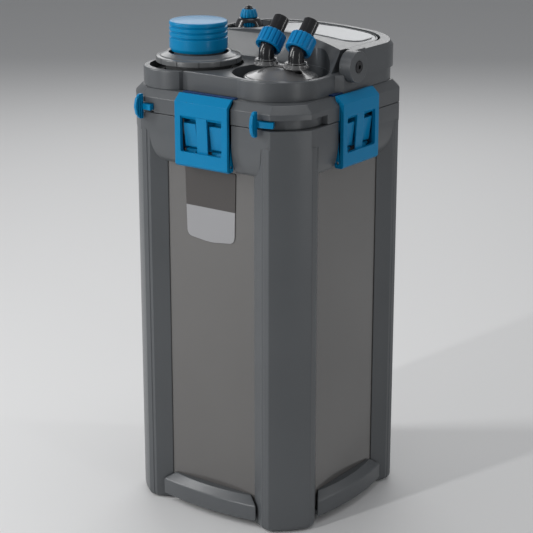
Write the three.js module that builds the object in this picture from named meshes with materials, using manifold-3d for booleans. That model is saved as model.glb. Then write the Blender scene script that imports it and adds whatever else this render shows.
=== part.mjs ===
// Canister filter for an aquarium: a square tub with a lift-off pump head.
// Millimetres, +Z up, front at -Y, origin at the middle of the footprint on the floor.
import * as THREE from "three";
import { mergeVertices } from "three/addons/utils/BufferGeometryUtils.js";
import Module from "manifold-3d";

const wasm = await Module();
wasm.setup();

// ---------------------------------------------------------------- driving dimensions
const gap = 0.3; // running gap between neighbouring pieces
const bodyHalf = 124; // half width over the collar and the head band
const cornerCentre = 28.8; // centre of each corner's shallow arc, along X and Y
const cornerRadius = 113.8; // radius of that arc at the full width
const leverPivot = 72; // centre that each lift lever turns about, along X and Y
const panelHalf = 112; // half width over the tub's flat panels
const tubWall = 4;
const seamZ = 482.5; // joint between the canister and the head
const browTopZ = 461; // where the collar starts to round in
const browBottomZ = 426;
const shoulderInset = 9; // the shoulder's chamfer, 45 degrees
const bandTopZ = 500;
const shoulderZ = bandTopZ + shoulderInset;
const lobeTopZ = 531;
const lobeRadius = 57;
const rearHalf = 116; // half width of the head cover's rear section
const rearFrontY = 28;
const crownZ = 562; // top of the rear section, in the middle
const crownSag = 9.5; // how far it drops to the sides
const hubZ = 538; // handle's pivot, on the X axis line y = 0
const hubRadius = 18;
const prefilter = { x: -61.5, y: -52.5 };
const adapter = { x: 52, y: -47.5, spacing: 41 };
const well = { x: 49.5, y: -46, radius: 55.5 }; // the deep recess around the hose adapter
const heater = { x: -79, y: 70 };
const pump = { x: 30, y: 65.5, radius: 30 };
const housingRadius = 41.5; // pre-filter housing
const latchHalf = 37;
const latchPivot = { y: -122, z: 434 };
const basketCount = 4;
const basketPitch = 104;
const basketBottomZ = 18;
const basketHalf = 105;

// ---------------------------------------------------------------- finishes
const finish = (colour, roughness, metalness = 0) =>
  new THREE.MeshStandardMaterial({ color: colour, roughness, metalness });
const greyPlastic = finish(0x4c5157, 0.45);
const darkPlastic = finish(0x1b1d20, 0.4);
const smokyPlastic = finish(0x5d5753, 0.2);
const bluePlastic = finish(0x0078af, 0.35);
const silverPlastic = finish(0xa4a6aa, 0.3, 0.2);
const steel = finish(0xb9bcc0, 0.25, 1);
const rubber = finish(0x121212, 0.8);
const foamBlue = finish(0x2c6fae, 0.95);
const foamOrange = finish(0xd6672a, 0.95);
const ceramic = finish(0xd9d4c8, 0.9);
const labelGrey = finish(0x8d8d8f, 0.4);

// ---------------------------------------------------------------- building blocks
const filter = new THREE.Group();

function place(name, geometry, material, parent = filter) {
  const mesh = new THREE.Mesh(geometry, material);
  mesh.name = name;
  parent.add(mesh);
  return mesh;
}

function group(x = 0, y = 0, z = 0, turn = 0, parent = filter) {
  const holder = new THREE.Group();
  holder.position.set(x, y, z);
  holder.rotation.z = turn;
  parent.add(holder);
  return holder;
}

// A closed geometry as a solid that can be cut and joined.
function solid(source) {
  const bare = source.clone();
  bare.deleteAttribute("normal");
  bare.deleteAttribute("uv");
  const merged = mergeVertices(bare, 1e-4);
  const corners = Array.from(merged.index.array);
  const triangles = [];
  for (let i = 0; i < corners.length; i += 3) {
    const [a, b, c] = corners.slice(i, i + 3);
    if (a !== b && b !== c && c !== a) triangles.push(a, b, c);
  }
  const vertProperties = new Float32Array(merged.attributes.position.array);
  const triVerts = new Uint32Array(triangles);
  return new wasm.Manifold(new wasm.Mesh({ numProp: 3, vertProperties, triVerts }));
}

function geometryOf(body) {
  const mesh = body.getMesh();
  const geometry = new THREE.BufferGeometry();
  geometry.setAttribute("position", new THREE.BufferAttribute(new Float32Array(mesh.vertProperties), 3));
  geometry.setIndex(new THREE.BufferAttribute(new Uint32Array(mesh.triVerts), 1));
  geometry.computeVertexNormals();
  return geometry;
}

const joined = (pieces) => pieces.reduce((all, piece) => all.add(piece));
const cutBy = (body, tools) => tools.reduce((left, tool) => left.subtract(tool), body);

// A closed body through outlines of equal point count, stacked from the bottom up.
function stack(layers) {
  const count = layers[0].points.length;
  const positions = [];
  const index = [];
  layers.forEach(({ z, points }) => points.forEach((p) => positions.push(p.x, p.y, z)));
  for (let level = 0; level < layers.length - 1; level += 1) {
    for (let i = 0; i < count; i += 1) {
      const a = level * count + i;
      const b = level * count + ((i + 1) % count);
      index.push(a, b, b + count, a, b + count, a + count);
    }
  }
  const top = (layers.length - 1) * count;
  THREE.ShapeUtils.triangulateShape(layers[0].points, []).forEach(([a, b, c]) => index.push(c, b, a));
  THREE.ShapeUtils.triangulateShape(layers.at(-1).points, []).forEach(([a, b, c]) => {
    index.push(top + a, top + b, top + c);
  });
  const geometry = new THREE.BufferGeometry();
  geometry.setAttribute("position", new THREE.Float32BufferAttribute(positions, 3));
  geometry.setIndex(index);
  return geometry;
}

const prism = (points, z0, z1) => stack([{ z: z0, points }, { z: z1, points }]);
const dot = (x, y) => new THREE.Vector2(x, y);

// Points along an arc, angles in degrees.
function arc(x, y, radius, from, to, steps) {
  return Array.from({ length: steps + 1 }, (_, i) => {
    const angle = THREE.MathUtils.degToRad(from + ((to - from) * i) / steps);
    return dot(x + radius * Math.cos(angle), y + radius * Math.sin(angle));
  });
}

// One corner's outline repeated round the square.
function fourCorners(corner) {
  const centre = dot(0, 0);
  return [0, 1, 2, 3].flatMap((q) => corner.map((p) => p.clone().rotateAround(centre, (q * Math.PI) / 2)));
}

// A corner's arc about the corner centre, between the two flat sides that it cuts.
function cornerArc(half, radius, steps) {
  const start = THREE.MathUtils.radToDeg(Math.acos((half - cornerCentre) / radius));
  return arc(cornerCentre, cornerCentre, radius, start, 90 - start, steps);
}

// The body's outline with its facetted corners, moved in by an inset.
function bodyOutline(inset, steps = 4) {
  return fourCorners(cornerArc(bodyHalf - inset, cornerRadius - inset, steps));
}

function roundedSquare(half, radius, steps = 4) {
  return fourCorners(arc(half - radius, half - radius, radius, 0, 90, steps));
}

function roundedBox(x0, x1, y0, y1, radius, steps = 4) {
  return [
    ...arc(x1 - radius, y1 - radius, radius, 0, 90, steps),
    ...arc(x0 + radius, y1 - radius, radius, 90, 180, steps),
    ...arc(x0 + radius, y0 + radius, radius, 180, 270, steps),
    ...arc(x1 - radius, y0 + radius, radius, 270, 360, steps),
  ];
}

function box(x0, x1, y0, y1, z0, z1) {
  const geometry = new THREE.BoxGeometry(x1 - x0, y1 - y0, z1 - z0);
  return geometry.translate((x0 + x1) / 2, (y0 + y1) / 2, (z0 + z1) / 2);
}

function drum(x, y, radius, z0, z1, sides = 20, topRadius = radius) {
  const geometry = new THREE.CylinderGeometry(topRadius, radius, z1 - z0, sides);
  return geometry.rotateX(Math.PI / 2).translate(x, y, (z0 + z1) / 2);
}

// A cylinder that lies along X.
function barrel(x0, x1, y, z, radius, sides = 20) {
  const geometry = new THREE.CylinderGeometry(radius, radius, x1 - x0, sides);
  return geometry.rotateZ(Math.PI / 2).translate((x0 + x1) / 2, y, z);
}

// A turned piece: pairs of radius and height, bottom up on the outside and back down inside.
function turned(profile, sides = 20) {
  const geometry = new THREE.LatheGeometry(profile.map(([r, z]) => dot(r, z)), sides);
  return geometry.rotateX(Math.PI / 2);
}

const ringProfile = (inner, outer, z0, z1) => [
  [inner, z0], [outer, z0], [outer, z1], [inner, z1], [inner, z0],
];
const ring = (inner, outer, z0, z1, sides = 20) => turned(ringProfile(inner, outer, z0, z1), sides);

// A profile in the YZ plane, drawn out along X.
function alongX(profile, x0, x1) {
  const shape = new THREE.Shape(profile.map(([y, z]) => dot(y, z)));
  const geometry = new THREE.ExtrudeGeometry(shape, { depth: x1 - x0, bevelEnabled: false });
  geometry.applyMatrix4(new THREE.Matrix4().set(0, 0, 1, x0, 1, 0, 0, 0, 0, 1, 0, 0, 0, 0, 0, 1));
  return geometry;
}

// ---------------------------------------------------------------- canister
const postSide = (y) => 60 + ((y - panelHalf) * 19) / 12.5; // slanted side wall of a corner post

function makeVessel() {
  const outer = roundedSquare(panelHalf, 45);
  const inner = roundedSquare(panelHalf - tubWall, 41);
  const tub = solid(prism(outer, 12, seamZ - 1));
  return geometryOf(tub.subtract(solid(prism(inner, 12 + tubWall + 1, seamZ + 10))));
}

function makePost() {
  const outer = bodyHalf + 0.5;
  const inside = panelHalf + gap;
  const centre = inside - 45;
  const outline = (draw) => [
    dot(inside, 60 + draw),
    dot(outer - draw, 79),
    ...cornerArc(outer - draw, cornerRadius - 0.5 - draw, 4),
    dot(79, outer - draw),
    dot(60 + draw, inside),
    ...arc(centre, centre, 45, 90, 0, 4),
  ];
  return stack([
    { z: 0, points: outline(5) },
    { z: 6, points: outline(0) },
    { z: browTopZ + 1, points: outline(0) },
  ]);
}

// The collar round the top with the four corner posts that carry it.
function makeOuterFrame() {
  const hole = roundedSquare(panelHalf + gap, 45);
  let collar = solid(prism(bodyOutline(0), browTopZ, seamZ - gap));
  const browSteps = 4;
  const brow = Array.from({ length: browSteps + 1 }, (_, i) => {
    const angle = (Math.PI / 2) * (i / browSteps);
    const depth = panelHalf + 1 + (bodyHalf - panelHalf - 1) * Math.sin(angle);
    const side = postSide(depth) - gap;
    const root = postSide(panelHalf) - gap;
    const points = [dot(-side, -depth), dot(side, -depth), dot(root, -105), dot(-root, -105)];
    return { z: browTopZ + 0.01 - (browTopZ - browBottomZ) * Math.cos(angle), points };
  });
  const pocket = box(-latchHalf - 1.5, latchHalf + 1.5, -140, -114.5, browTopZ - 1, seamZ + 1);
  const lowPocket = box(-latchHalf - 1.5, latchHalf + 1.5, -140, -100, browBottomZ - 1, browTopZ);
  for (let side = 0; side < 4; side += 1) {
    const turn = (geometry) => solid(geometry.clone().rotateZ((side * Math.PI) / 2));
    collar = collar.add(turn(stack(brow))).subtract(turn(pocket)).subtract(turn(lowPocket));
  }
  collar = collar.subtract(solid(prism(hole, 400, 500)));
  for (let corner = 0; corner < 4; corner += 1) {
    collar = collar.add(solid(makePost().rotateZ((corner * Math.PI) / 2)));
  }
  return geometryOf(collar);
}

function makeBase() {
  const outline = (half) => roundedSquare(half, 45, 4);
  let tray = solid(prism(outline(panelHalf - 0.5), 4, 12 - gap));
  const trim = (inset) => {
    const reach = 70 - inset * 1.6;
    const bulge = [-1, -0.6, -0.2, 0.2, 0.6, 1].map((t) => dot(reach * t, -122 - 7 * (1 - t * t) + inset));
    return [...bulge, dot(54, -112.3), dot(-54, -112.3)];
  };
  const layers = [
    { z: 8, points: trim(1.5) },
    { z: 10, points: trim(0) },
    { z: 27, points: trim(0) },
    { z: 36, points: trim(8) },
  ];
  for (let side = 0; side < 4; side += 1) {
    const tab = box(-50, 50, -114, -105, 8, 12 - gap);
    [stack(layers), tab].forEach((part) => {
      tray = tray.add(solid(part.clone().rotateZ((side * Math.PI) / 2)));
    });
  }
  return geometryOf(tray);
}

function makeLabel() {
  const outline = [
    dot(36, 424),
    dot(-36, 424),
    dot(-36, 350),
    ...arc(-28, 348, 8, 200, 260, 2),
    dot(0, 338),
    ...arc(28, 348, 8, -80, -20, 2),
    dot(36, 350),
  ];
  const geometry = new THREE.ExtrudeGeometry(new THREE.Shape(outline), { depth: 0.8, bevelEnabled: false });
  return geometry.rotateX(Math.PI / 2).translate(0, -panelHalf - gap, 0);
}

place("vessel", makeVessel(), smokyPlastic);
place("outer_frame", makeOuterFrame(), greyPlastic);
place("base_tray", makeBase(), greyPlastic);
place("label_plate", makeLabel(), labelGrey);
["back_right", "back_left", "front_left", "front_right"].forEach((corner, q) => {
  const quarter = group(0, 0, 0, (q * Math.PI) / 2);
  place(`foot_${corner}`, drum(80, 80, 8, 0, 4 - gap, 16, 7), rubber, quarter);
});

// ---------------------------------------------------------------- latches
function makeLatch() {
  const plate = [
    [-130, 430.2], [-127.5, 427.7], [-125.5, 427.7], [-125.5, 499.9], [-118.8, 506.6],
    [-118.8, 510.2], [-121.8, 510.2], [-130, 502],
  ];
  const cheek = [[-126, 427.7], [-119.5, 427.7], [-118, 430], [-118, 440], [-126, 476]];
  let latch = solid(alongX(plate, -latchHalf, latchHalf));
  [-1, 1].forEach((side) => {
    const inner = side * (latchHalf - 4.5);
    const outer = side * latchHalf;
    latch = latch.add(solid(alongX(cheek, Math.min(inner, outer), Math.max(inner, outer))));
    const window = box(-10.75, 10.75, -135, -124, 445, 483).translate(side * 18.25, 0, 0);
    latch = latch.subtract(solid(window));
  });
  const eye = solid(barrel(-50, 50, latchPivot.y, latchPivot.z, 2.1, 8));
  return geometryOf(latch.subtract(eye));
}

function makeKeeper() {
  const block = [[-115.5, 449], [-124, 449], [-126, 452], [-126, 474.5], [-124, 477.5], [-115.5, 477.5]];
  const lug = [[-125, 434], [-123.5, 431.4], [-120.5, 431.4], [-119, 434], [-119, 450], [-125, 450]];
  let keeper = solid(box(-34, 34, -116, -114.8, 446, 480));
  [-1, 1].forEach((side) => {
    keeper = keeper.add(solid(alongX(block, side > 0 ? 10 : -27, side > 0 ? 27 : -10)));
    keeper = keeper.add(solid(alongX(lug, side > 0 ? 14 : -23, side > 0 ? 23 : -14)));
  });
  return geometryOf(keeper.subtract(solid(barrel(-40, 40, latchPivot.y, latchPivot.z, 1.9, 8))));
}

["front", "right", "back", "left"].forEach((side, q) => {
  const quarter = group(0, 0, 0, (q * Math.PI) / 2);
  place(`latch_${side}`, makeLatch(), bluePlastic, quarter);
  place(`keeper_${side}`, makeKeeper(), bluePlastic, quarter);
  place(`latch_pin_${side}`, barrel(-36, 36, latchPivot.y, latchPivot.z, 1.6, 8), steel, quarter);
});

// ---------------------------------------------------------------- head
const drumSolid = (...size) => solid(drum(...size));
// The slot that a lift lever runs in, a ring sector about a corner's centre.
function sector(x, y, inner, outer, from, to, z0, z1, steps = 10) {
  return prism([...arc(x, y, outer, from, to, steps), ...arc(x, y, inner, to, from, steps)], z0, z1);
}

function makeHeadBase() {
  const ringBody = stack([
    { z: seamZ + gap, points: bodyOutline(0) },
    { z: bandTopZ, points: bodyOutline(0) },
    { z: shoulderZ, points: bodyOutline(shoulderInset) },
  ]);
  const slotBottom = seamZ - 5;
  return geometryOf(cutBy(solid(ringBody), [
    solid(prism(roundedSquare(106, 40), slotBottom, 496)),
    solid(sector(leverPivot, -leverPivot, 46, 64, -93, 13, slotBottom, 494)),
    solid(sector(-leverPivot, -leverPivot, 46, 64, -188, -89.5, slotBottom, 494)),
    drumSolid(prefilter.x, prefilter.y, housingRadius + gap, 490, 515),
    drumSolid(pump.x, pump.y, pump.radius + 1, 490, 515),
    drumSolid(heater.x, heater.y, 13, 490, 515, 12),
    drumSolid(adapter.x - adapter.spacing / 2, adapter.y, 10, 490, 515, 12),
    drumSolid(adapter.x + adapter.spacing / 2, adapter.y, 10, 490, 515, 12),
  ]));
}

// Slab that follows the rear section's crowned top, from `low` to `high` above it.
function crownSlab(low, high) {
  const reach = 130;
  const radius = (rearHalf * rearHalf + crownSag * crownSag) / (2 * crownSag);
  const steps = 10;
  const line = (height) => Array.from({ length: steps + 1 }, (_, i) => {
    const x = reach - (2 * reach * i) / steps;
    return dot(x, crownZ + height + Math.sqrt(radius * radius - x * x) - radius);
  });
  const shape = new THREE.Shape([...line(high), ...line(low).reverse()]);
  const geometry = new THREE.ExtrudeGeometry(shape, { depth: 300, bevelEnabled: false });
  return solid(geometry.rotateX(Math.PI / 2).translate(0, 150, 0));
}
const underCrown = (height) => crownSlab(-100, height);

function makeHeadCover() {
  const front = [
    ...arc(adapter.x, -50, lobeRadius, -112.9, 0, 9),
    dot(109, -24),
    dot(rearHalf, -16),
    ...arc(70, 70, rearHalf - 70, 0, 90, 6),
    ...arc(-70, 70, rearHalf - 70, 90, 180, 6),
    dot(-rearHalf, -40),
    ...arc(-leverPivot, -leverPivot, 43.5, 184, 305, 9),
    dot(-45.5, -102.5),
  ];
  const rear = (inset) => [
    dot(102 - inset, rearFrontY),
    ...arc(69, 69, 33 - inset, 0, 90, 5),
    ...arc(-69, 69, 33 - inset, 90, 180, 5),
    dot(inset - 102, rearFrontY),
    dot(inset - 102, -60),
    dot(102 - inset, -60),
  ];
  // The walls lean in near the top, inside the circle that the carry handle swings through.
  const walls = stack([
    { z: 515, points: rear(0) },
    { z: 547, points: rear(0) },
    { z: 575, points: rear(5) },
  ]);
  const lowOutline = prism(front, shoulderZ + gap, 524);
  const lobes = solid(prism(front, 520, lobeTopZ)).subtract(solid(box(-130, 130, 0, 130, 524, 540)));
  const tower = solid(walls).intersect(underCrown(0));
  const scoop = (x, y, low, high) => solid(drum(x, y, low, lobeTopZ, 600, 20, high));
  // The rear section's front rises steeply across the left and gently, at a slant, towards the right hub.
  const steep = [[-130, lobeTopZ], [14, lobeTopZ], [rearFrontY, 556], [rearFrontY, 600], [-130, 600]];
  const gentle = [[-130, lobeTopZ], [0, lobeTopZ], [30, 570], [30, 600], [-130, 600]];
  const slanted = solid(alongX(gentle, -200, 200).rotateZ(-0.33).translate(0, 14, 0));
  const shell = joined([solid(lowOutline), lobes]).add(cutBy(tower, [
    scoop(prefilter.x, prefilter.y, 56, 60),
    scoop(well.x, well.y, well.radius, well.radius + 5),
    solid(box(-130, -50, -70, 10, lobeTopZ, 600)),
    solid(alongX(steep, -130, 130)).intersect(slanted),
  ]));
  const cavity = solid(prism(roundedBox(-98, 98, 34, 98, 28), 500, 547));
  return geometryOf(cutBy(shell, [
    cutBy(cavity, [drumSolid(heater.x, heater.y, 16, 490, 560, 12)]),
    drumSolid(prefilter.x, prefilter.y, 52.5, 522, 560, 24),
    drumSolid(-71, -68, 40, 522, 560, 24),
    drumSolid(prefilter.x, prefilter.y, housingRadius + gap, 500, 560, 20),
    solid(drum(well.x, well.y, well.radius - 2, 515, 545, 24, well.radius)),
    drumSolid(adapter.x - adapter.spacing / 2, adapter.y, 10, 490, 520, 12),
    drumSolid(adapter.x + adapter.spacing / 2, adapter.y, 10, 490, 520, 12),
    drumSolid(heater.x, heater.y, 13, 490, 570, 12),
    solid(barrel(109.4, 140, 0, hubZ, hubRadius + 0.6)),
    solid(barrel(-140, -109.4, 0, hubZ, hubRadius + 0.6)),
    solid(prism(plateOutline(gap), 545, 600)).intersect(crownSlab(-2.5, 40)),
    solid(prism(heaterPanelOutline(gap), 549, 600)),
    solid(box(-45, 45, 99, 130, 505, 530)),
  ]));
}

const plateOutline = (grow) => roundedBox(-38 - grow, 96 + grow, 36 - grow, 98 + grow, 24, 6);
const heaterPanelOutline = (grow) => roundedBox(-99 - grow, -41 + grow, 36 - grow, 98 + grow, 20, 6);

function makeTopPlate() {
  const plate = solid(prism(plateOutline(0), 540, 600)).intersect(crownSlab(-2.2, -0.6));
  const raised = solid(prism(roundedBox(18, 92, 40, 94, 20, 6), 540, 600)).intersect(crownSlab(-1.5, 0.6));
  return geometryOf(plate.add(raised));
}

function makeHeaterPanel() {
  const panel = solid(prism(heaterPanelOutline(0), 549 + gap, 552));
  return geometryOf(panel.subtract(drumSolid(heater.x, heater.y, 12, 540, 560, 12)));
}

place("head_base", makeHeadBase(), greyPlastic);
place("head_cover", makeHeadCover(), greyPlastic);
place("top_plate", makeTopPlate(), silverPlastic);
place("heater_panel", makeHeaterPanel(), darkPlastic);
const sealRing = solid(prism(roundedSquare(panelHalf - 0.6, 44.4), seamZ - 0.7, seamZ + gap - 0.1));
const sealHole = solid(prism(roundedSquare(panelHalf - 3.4, 41.6), seamZ - 3, seamZ + 5));
place("head_seal", geometryOf(sealRing.subtract(sealHole)), rubber);

// ---------------------------------------------------------------- carry handle
function makeHandle() {
  const outline = (half, radius) => [
    dot(half, 0),
    ...arc(half - radius, half - radius, radius, 0, 90, 5),
    ...arc(radius - half, half - radius, radius, 90, 180, 5),
    dot(-half, 0),
  ];
  const chamfer = 7;
  const bail = stack([
    { z: 524.6, points: outline(118, 46) },
    { z: 549, points: outline(118, 46) },
    { z: 575, points: outline(118 - chamfer * 2.6, 46 - chamfer * 2.6) },
  ]);
  const inside = prism([...outline(103, 32), dot(-103, -5), dot(103, -5)], 500, 600);
  const arms = solid(bail).subtract(solid(inside)).intersect(underCrown(1));
  const hubs = [109.8, -125.4].map((x) => solid(barrel(x, x + 15.6, 0, hubZ, hubRadius)));
  const roots = [-1, 1].map((side) => {
    const root = [[0, 524.6], [24, 524.6], [24, 556], [0, 555.8]];
    return solid(alongX(root, Math.min(side * 106, side * 118), Math.max(side * 106, side * 118)));
  });
  const keyholes = [barrel(119, 130, 0, hubZ, 7.4, 16), barrel(-130, -119, 0, hubZ, 7.4, 16)];
  return geometryOf(cutBy(joined([arms, ...roots, ...hubs]), [
    ...keyholes.map(solid),
    solid(barrel(-130, 130, 0, hubZ, 4.3, 16)),
    solid(barrel(-109.8, 109.8, 0, hubZ, hubRadius + 0.6)),
  ]));
}

place("carry_handle", makeHandle(), greyPlastic);
[-1, 1].forEach((side) => {
  const name = side > 0 ? "right" : "left";
  const head = solid(barrel(119.3, 126.4, 0, hubZ, 7)).subtract(solid(barrel(123, 130, 0, hubZ, 2.6, 6)));
  const cap = head.add(solid(barrel(109.7, 119.5, 0, hubZ, 4, 16)));
  const capGroup = group(0, 0, 0, side > 0 ? 0 : Math.PI);
  place(`hub_cap_${name}`, geometryOf(cap), darkPlastic, capGroup);
});

// ---------------------------------------------------------------- lift levers
function makeLever(x, tabAngle, armEnd) {
  const y = -leverPivot;
  const tabHalf = 2.2;
  const arm = solid(sector(x, y, 49, 57.5, tabAngle, armEnd, 486, 492.5, 5));
  const outline = [[55.9, 475], [62, 475], [65.8, 481], [67, 489.5], [65.8, 498], [62, 504], [55.9, 504]];
  const tab = solid(alongX(outline, -tabHalf, tabHalf));
  const turn = THREE.MathUtils.degToRad(tabAngle - 90);
  const standing = geometryOf(tab).rotateZ(turn).translate(x, y, 0);
  const root = solid(alongX([[50, 486], [57.5, 486], [57.5, 492.5], [50, 492.5]], -tabHalf, tabHalf));
  return geometryOf(joined([arm, solid(standing), solid(geometryOf(root).rotateZ(turn).translate(x, y, 0))]));
}

place("lift_lever_right", makeLever(leverPivot, -87, -66), bluePlastic);
place("lift_lever_left", makeLever(-leverPivot, -105, -90.6), bluePlastic);

// ---------------------------------------------------------------- pre-filter
const prefilterGroup = group(prefilter.x, prefilter.y);
place("priming_cap", turned([
  [29.5, 545.6], [31.2, 545.6], [33.7, 549.4], [33.7, 579.4], [31.5, 580.6], [0, 581.6], [0, 575.4],
  [29.5, 575.4], [29.5, 545.6],
], 24), bluePlastic, prefilterGroup);
place("bayonet_collar", turned([
  [34.6, 527], [38.4, 527], [38.4, 533.5], [50, 533.5], [50, 539.5], [48.5, 541], [37, 544.6], [34.6, 544.6],
  [34.6, 527],
], 24), greyPlastic, prefilterGroup);
place("prefilter_core", turned([
  [0, 150], [38, 150], [38, 153], [15, 153], [15, 505], [38, 505], [38, 526.5], [28.8, 526.5],
  [28.8, 561], [0, 561],
]), greyPlastic, prefilterGroup);
place("prefilter_foam", ring(15.4, 37.5, 153.4, 504.6, 24), foamOrange, prefilterGroup);
place("prefilter_housing", turned([
  [0, 140], [housingRadius, 140], [housingRadius, 507], [38.8, 507], [38.8, 143], [0, 143],
]), smokyPlastic, prefilterGroup);

// ---------------------------------------------------------------- hose adapter
const adapterGroup = group(adapter.x, adapter.y);
const portX = [-adapter.spacing / 2, adapter.spacing / 2];
const dome = solid(turned([
  [0, 515.4], [38, 515.4], [42.7, 518], [42.7, 526], [41, 528.4], [34, 530], [24, 533.6], [16, 537], [0, 538],
], 20));
const spigots = portX.map((x) => drumSolid(x, 0, 9.2, 484, 516, 12));
const bores = portX.map((x) => drumSolid(x, 0, 7, 480, 545, 12));
place("hose_adapter", geometryOf(cutBy(joined([dome, ...spigots]), bores)), silverPlastic, adapterGroup);

const bendZ = 554.5; // where the elbows turn from upright to the hoses' slant

function makeElbow() {
  const tilt = THREE.MathUtils.degToRad(43);
  const route = new THREE.CurvePath();
  const bend = new THREE.Vector3(0, 0, bendZ);
  const along = new THREE.Vector3(0, Math.sin(tilt), Math.cos(tilt));
  const start = new THREE.Vector3(0, 0, 539);
  const before = new THREE.Vector3(0, 0, bendZ - 6);
  const after = bend.clone().addScaledVector(along, 6);
  const end = bend.clone().addScaledVector(along, 14);
  route.add(new THREE.LineCurve3(start, before));
  route.add(new THREE.QuadraticBezierCurve3(before, bend, after));
  route.add(new THREE.LineCurve3(after, end));
  const tube = (radius, extend) => {
    const circle = new THREE.Shape(arc(0, 0, radius, 0, 330, 11));
    const options = { steps: 6, bevelEnabled: false, extrudePath: route };
    return solid(new THREE.ExtrudeGeometry(circle, options).translate(0, 0, extend));
  };
  const outside = tube(9.1, 0);
  const bore = new THREE.CylinderGeometry(6.8, 6.8, 40, 10);
  const bored = (turn, y, z) => solid(bore.clone().rotateX(turn).translate(0, y, z));
  const upper = bored(Math.PI / 2 - tilt, along.y * 18, bendZ + along.z * 18);
  const lower = bored(Math.PI / 2, 0, 537.5);
  return geometryOf(cutBy(outside, [upper, lower]));
}

// A ribbed ring, axis along Z, centred on its own middle.
function ribbedRing(inner, outer, depth, ribs, length) {
  const steps = ribs * 4;
  const outline = Array.from({ length: steps }, (_, i) => {
    const radius = i % 4 < 2 ? outer : outer - depth;
    const angle = (2 * Math.PI * i) / steps;
    return dot(radius * Math.cos(angle), radius * Math.sin(angle));
  });
  const body = solid(prism(outline, -length / 2, length / 2));
  return body.subtract(drumSolid(0, 0, inner, -length, length, 16));
}

// Two collars joined by a bar hold the elbows down in the adapter.
const collars = portX.flatMap((x) => [
  drumSolid(x, 0, 12.2, 538.4, 545, 12),
  drumSolid(x, 0, 14.2, 538.4, 540, 12),
  solid(box(x - 15.5, x + 15.5, -3, 3, 540, 543)),
]);
const collarBar = solid(box(portX[0], portX[1], -4, 4, 538.4, 540.4));
const collarBores = portX.map((x) => drumSolid(x, 0, 9.7, 530, 550, 12));
place("clip_collars", geometryOf(cutBy(joined([...collars, collarBar]), collarBores)), silverPlastic,
  adapterGroup);

const hoseTilt = THREE.MathUtils.degToRad(43);
portX.forEach((x, i) => {
  const side = i === 0 ? "left" : "right";
  const port = group(x, 0, 0, 0, adapterGroup);
  place(`elbow_${side}`, makeElbow(), darkPlastic, port);
  const tilted = new THREE.Group();
  tilted.position.set(0, 0, bendZ);
  tilted.rotation.x = -hoseTilt;
  port.add(tilted);
  const nut = geometryOf(ribbedRing(9.9, 15.2, 1, 12, 19)).translate(0, 0, 13.2);
  place(`hose_nut_${side}`, nut, bluePlastic, tilted);
  place(`hose_nozzle_${side}`, ring(6.8, 9, 14.3, 44, 24), darkPlastic, tilted);
});

// ---------------------------------------------------------------- heater
const heaterGroup = group(heater.x, heater.y);
place("heater_base", turned([
  [0, 552.3], [17.5, 552.3], [17.5, 555], [14.5, 562.5], [11.5, 565.5], [6, 565.5], [6, 574], [0, 574],
]), darkPlastic, heaterGroup);
const dial = ribbedRing(6.3, 10.6, 0.8, 10, 8).translate(0, 0, 569.9);
place("heater_dial", geometryOf(dial), bluePlastic, heaterGroup);
place("heater_top", turned([[0, 574.2], [8.5, 574.2], [7, 577], [3.6, 580.2], [0, 580.6]], 24), darkPlastic,
  heaterGroup);
const tube = turned([[0, 170], [6, 170.5], [10, 174], [10, 552], [0, 552]]);
place("heater_tube", tube, ceramic, heaterGroup);

// ---------------------------------------------------------------- pump
const pumpGroup = group(pump.x, pump.y);
place("motor_pot", turned([
  [0, 530], [13.5, 530], [13.5, 470.3], [40, 470.3], [40, 475], [pump.radius, 475],
  [pump.radius, 543], [0, 543],
]), darkPlastic, pumpGroup);
const vanes = [0, 90].map((turn) => solid(box(-24, 24, -1, 1, 455, 465).rotateZ((turn * Math.PI) / 180)));
const rotorProfile = [[1.9, 454], [26, 454], [26, 456], [12.5, 456], [12.5, 526], [1.9, 526], [1.9, 454]];
const rotor = solid(turned(rotorProfile, 16));
const rotorBore = drumSolid(0, 0, 1.9, 440, 540, 8);
place("impeller", geometryOf(joined([rotor, ...vanes]).subtract(rotorBore)), steel, pumpGroup);
place("impeller_shaft", drum(0, 0, 1.5, 449, 528, 12), ceramic, pumpGroup);
place("pump_cover", turned([
  [14, 446], [40, 446], [40, 470], [37, 470], [37, 448.7], [14, 448.7], [14, 446],
]), darkPlastic, pumpGroup);
const gland = turned([[0, 0], [7, 0], [7, 6], [4.6, 22.7], [2.6, 22.7], [2.6, 5], [0, 5]], 12);
place("cable_gland", gland.rotateX(-Math.PI / 2).translate(60, rearHalf + gap, 516.5), rubber);

// ---------------------------------------------------------------- baskets and media
const clearances = [[prefilter.x, prefilter.y, housingRadius + 3], [heater.x, heater.y, 14]];
const mediaNames = ["ceramic_media", "coarse_foam", "medium_foam", "fine_foam"];
const mediaFinish = [ceramic, foamBlue, foamBlue, foamOrange];
for (let i = 0; i < basketCount; i += 1) {
  const bottom = basketBottomZ + i * basketPitch;
  const top = bottom + basketPitch - 2;
  const wells = (grow, z0, z1) => clearances.map(([x, y, r]) => drumSolid(x, y, r + grow, z0, z1, 10));
  const outside = cutBy(solid(prism(roundedSquare(basketHalf, 38, 3), bottom, top)), wells(0, 0, 600));
  const room = solid(prism(roundedSquare(basketHalf - 2, 36, 3), bottom + 3, 600));
  const inside = cutBy(room, wells(2, 0, 700));
  const holes = [[0, 35], [60, 35], [60, -50]].map(([x, y]) => drumSolid(x, y, 14, 0, 600, 6));
  place(`basket_${i + 1}`, geometryOf(cutBy(outside, [inside, ...holes])), darkPlastic);
  const block = solid(prism(roundedSquare(basketHalf - 3, 35, 3), bottom + 4, top - 12));
  place(mediaNames[i], geometryOf(cutBy(block, wells(3, 0, 700))), mediaFinish[i]);
}

export default filter;
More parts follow.
